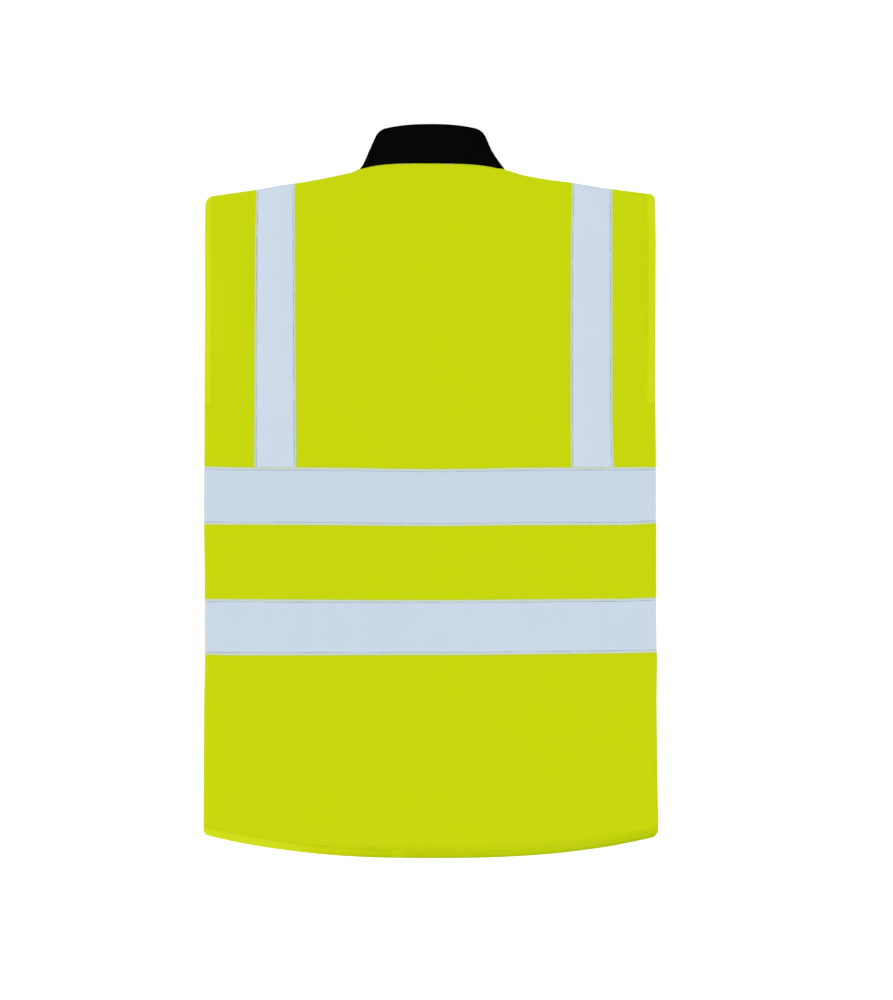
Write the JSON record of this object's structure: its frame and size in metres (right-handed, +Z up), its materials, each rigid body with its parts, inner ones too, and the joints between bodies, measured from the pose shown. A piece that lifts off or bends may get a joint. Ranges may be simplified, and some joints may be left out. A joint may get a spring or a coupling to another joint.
{
  "type": "reversible bodywarmer",
  "caption": "Padded sleeveless high-visibility bodywarmer with a stand collar, dropped tail and reflective tape, laid flat back up.",
  "frame": {"origin": "bottom centre of the box round the flat garment, on the surface it lies on", "axes": "+Z up, out of the wearer's back; +Y along the garment's length, from the hem to the collar; +X towards the wearer's right"},
  "size_m": [0.5444, 0.88, 0.0124],
  "materials": {
    "yellow_cloth": "fluorescent yellow-green coated polyester, fine plain weave, padded",
    "yellow_binding": "fluorescent yellow-green woven edge binding, stitched",
    "reflective_tape": "silver retro-reflective fabric tape, matt with a soft sheen, edge-stitched",
    "collar_cloth": "black matt woven cloth of the reverse side",
    "zip_cloth": "black herringbone zip tape",
    "zip_plastic": "black moulded plastic chain",
    "zip_metal": "black enamelled die-cast metal"
  },
  "bodies": {
    "root": {"back_panel": "yellow_cloth", "front_left": "yellow_cloth", "front_right": "yellow_cloth", "collar": "collar_cloth", "hem_binding_back": "yellow_binding", "hem_binding_front_left": "yellow_binding", "hem_binding_front_right": "yellow_binding", "armhole_binding_back_left": "yellow_binding", "armhole_binding_back_right": "yellow_binding", "armhole_binding_front_left": "yellow_binding", "armhole_binding_front_right": "yellow_binding", "brace_back_left": "reflective_tape", "brace_back_right": "reflective_tape", "brace_front_left": "reflective_tape", "brace_front_right": "reflective_tape", "band_upper_back": "reflective_tape", "band_lower_back": "reflective_tape", "band_upper_front_left": "reflective_tape", "band_upper_front_right": "reflective_tape", "band_lower_front_left": "reflective_tape", "band_lower_front_right": "reflective_tape", "zip_tape_left": "zip_cloth", "zip_tape_right": "zip_cloth", "zip_chain": "zip_plastic", "zip_box": "zip_plastic", "zip_slider": "zip_metal"},
    "pull_tab": {"zip_pull": "zip_metal"}
  },
  "joints": [
    {"name": "pull_tab_hinge", "type": "hinge", "parent": "root", "child": "pull_tab", "pos_m": [0, 0.352, 0.00165], "axis": [1, 0, 0], "range_deg": [0, 180]}
  ]
}
